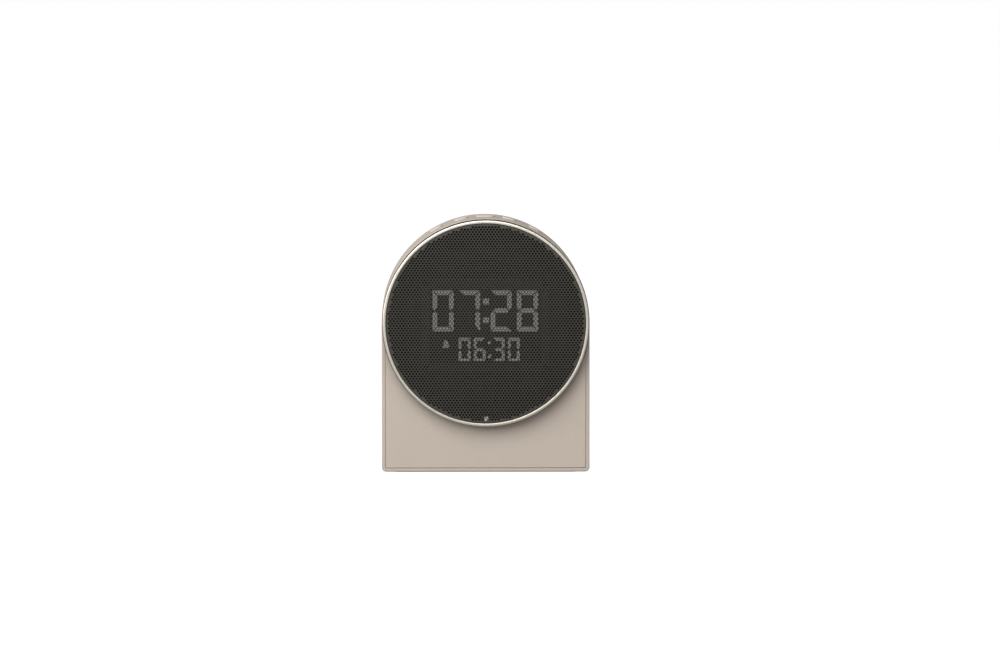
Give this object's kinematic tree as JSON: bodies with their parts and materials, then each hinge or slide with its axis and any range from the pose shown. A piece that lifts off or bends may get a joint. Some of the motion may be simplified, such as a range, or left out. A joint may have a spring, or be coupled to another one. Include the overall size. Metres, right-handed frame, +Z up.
{
  "type": "talking alarm clock with loudspeaker",
  "caption": "Arch-shaped bedside talking clock: a round perforated grille in a metal ring, lit digits and a loudspeaker behind it, low keys on top.",
  "frame": {"origin": "on the surface that the clock stands on, under the middle of its bounding box", "axes": "+Z up, the front with its grille faces -Y, +X to the right as seen from the front"},
  "size_m": [0.083, 0.0496, 0.102],
  "materials": {
    "body_plastic": "fine matt spark texture",
    "key_plastic": "satin moulded",
    "champagne_metal": "satin anodised",
    "grille_metal": "satin powder coat",
    "lit_segment": "diffuse, lit from behind",
    "black_plastic": "matt moulded",
    "circuit_board": "solder mask",
    "zinc_steel": "zinc plated",
    "ferrite": "sintered",
    "paper_cone": "pressed pulp",
    "black_rubber": "matt",
    "coil_copper": "enamelled winding",
    "clear_acrylic": "clear moulded",
    "spider_cloth": "resin-treated weave",
    "flex_film": "polyimide film",
    "battery_wrap": "shrink sleeve",
    "lead_sleeve": "silicone sleeve"
  },
  "bodies": {
    "housing": {"main_shell": "body_plastic", "front_panel": "body_plastic", "drum_housing": "body_plastic", "bezel_ring": "champagne_metal", "grille": "grille_metal", "display_reflector": "black_plastic", "display_board": "circuit_board", "display_screws": "zinc_steel", "status_led_board": "circuit_board", "status_light_pipe": "clear_acrylic", "baffle_plate": "black_plastic", "drum_screws": "zinc_steel", "shell_screws": "zinc_steel", "speaker_gasket": "black_rubber", "speaker_screws": "zinc_steel", "speaker_basket": "zinc_steel", "speaker_surround": "black_rubber", "speaker_spider": "spider_cloth", "speaker_top_plate": "zinc_steel", "speaker_magnet": "ferrite", "speaker_back_plate": "zinc_steel", "key_carrier": "black_plastic", "key_flex": "flex_film", "key_switches": "black_plastic", "key_carrier_screws": "zinc_steel", "rear_cover": "body_plastic", "rear_cover_screws": "zinc_steel", "rear_seal": "black_rubber", "rear_switches": "black_plastic", "alarm_switch_body": "zinc_steel", "main_board": "circuit_board", "board_screws": "zinc_steel", "radio_module": "zinc_steel", "speech_chip": "black_plastic", "charging_socket": "zinc_steel", "battery_cell": "battery_wrap", "battery_cradle": "black_plastic", "foot_pad": "black_rubber", "display_ribbon": "flex_film", "key_ribbon": "flex_film", "speaker_wires": "lead_sleeve", "battery_wires": "lead_sleeve", "time_digits": "lit_segment", "alarm_digits": "lit_segment", "alarm_bell": "lit_segment"},
    "volume_down_key_body": {"volume_down_key": "key_plastic"},
    "light_key_body": {"light_key": "key_plastic"},
    "snooze_key_body": {"snooze_key": "key_plastic"},
    "talk_key_body": {"talk_key": "key_plastic"},
    "volume_up_key_body": {"volume_up_key": "key_plastic"},
    "time_set_button_body": {"time_set_button": "key_plastic"},
    "alarm_set_button_body": {"alarm_set_button": "key_plastic"},
    "pairing_button_body": {"pairing_button": "key_plastic"},
    "slide_knob": {"alarm_switch_knob": "black_plastic"},
    "cone": {"speaker_cone": "paper_cone", "dust_cap": "paper_cone", "voice_coil": "coil_copper"}
  },
  "joints": [
    {"name": "volume_down_key_press", "type": "slide", "parent": "housing", "child": "volume_down_key_body", "axis": [0.4772, 0, -0.8788], "range_m": [0, 0.0006], "stiffness_N_per_m": 800, "springref_m": -0.0004},
    {"name": "light_key_press", "type": "slide", "parent": "housing", "child": "light_key_body", "axis": [0.2334, 0, -0.9724], "range_m": [0, 0.0006], "stiffness_N_per_m": 800, "springref_m": -0.0004},
    {"name": "snooze_key_press", "type": "slide", "parent": "housing", "child": "snooze_key_body", "axis": [0, 0, -1], "range_m": [0, 0.0006], "stiffness_N_per_m": 800, "springref_m": -0.0004},
    {"name": "talk_key_press", "type": "slide", "parent": "housing", "child": "talk_key_body", "axis": [-0.2334, 0, -0.9724], "range_m": [0, 0.0006], "stiffness_N_per_m": 800, "springref_m": -0.0004},
    {"name": "volume_up_key_press", "type": "slide", "parent": "housing", "child": "volume_up_key_body", "axis": [-0.4772, 0, -0.8788], "range_m": [0, 0.0006], "stiffness_N_per_m": 800, "springref_m": -0.0004},
    {"name": "time_set_button_press", "type": "slide", "parent": "housing", "child": "time_set_button_body", "axis": [0, -1, 0], "range_m": [0, 0.0005], "stiffness_N_per_m": 1000, "springref_m": -0.0003},
    {"name": "alarm_set_button_press", "type": "slide", "parent": "housing", "child": "alarm_set_button_body", "axis": [0, -1, 0], "range_m": [0, 0.0005], "stiffness_N_per_m": 1000, "springref_m": -0.0003},
    {"name": "pairing_button_press", "type": "slide", "parent": "housing", "child": "pairing_button_body", "axis": [0, -1, 0], "range_m": [0, 0.0005], "stiffness_N_per_m": 1000, "springref_m": -0.0003},
    {"name": "alarm_switch_slide", "type": "slide", "parent": "housing", "child": "slide_knob", "axis": [1, 0, 0], "range_m": [0, 0.003]},
    {"name": "cone_travel", "type": "slide", "parent": "housing", "child": "cone", "axis": [0, -1, 0], "range_m": [-0.001, 0.001], "stiffness_N_per_m": 1500, "deforming": ["speaker_surround", "speaker_spider"]}
  ]
}
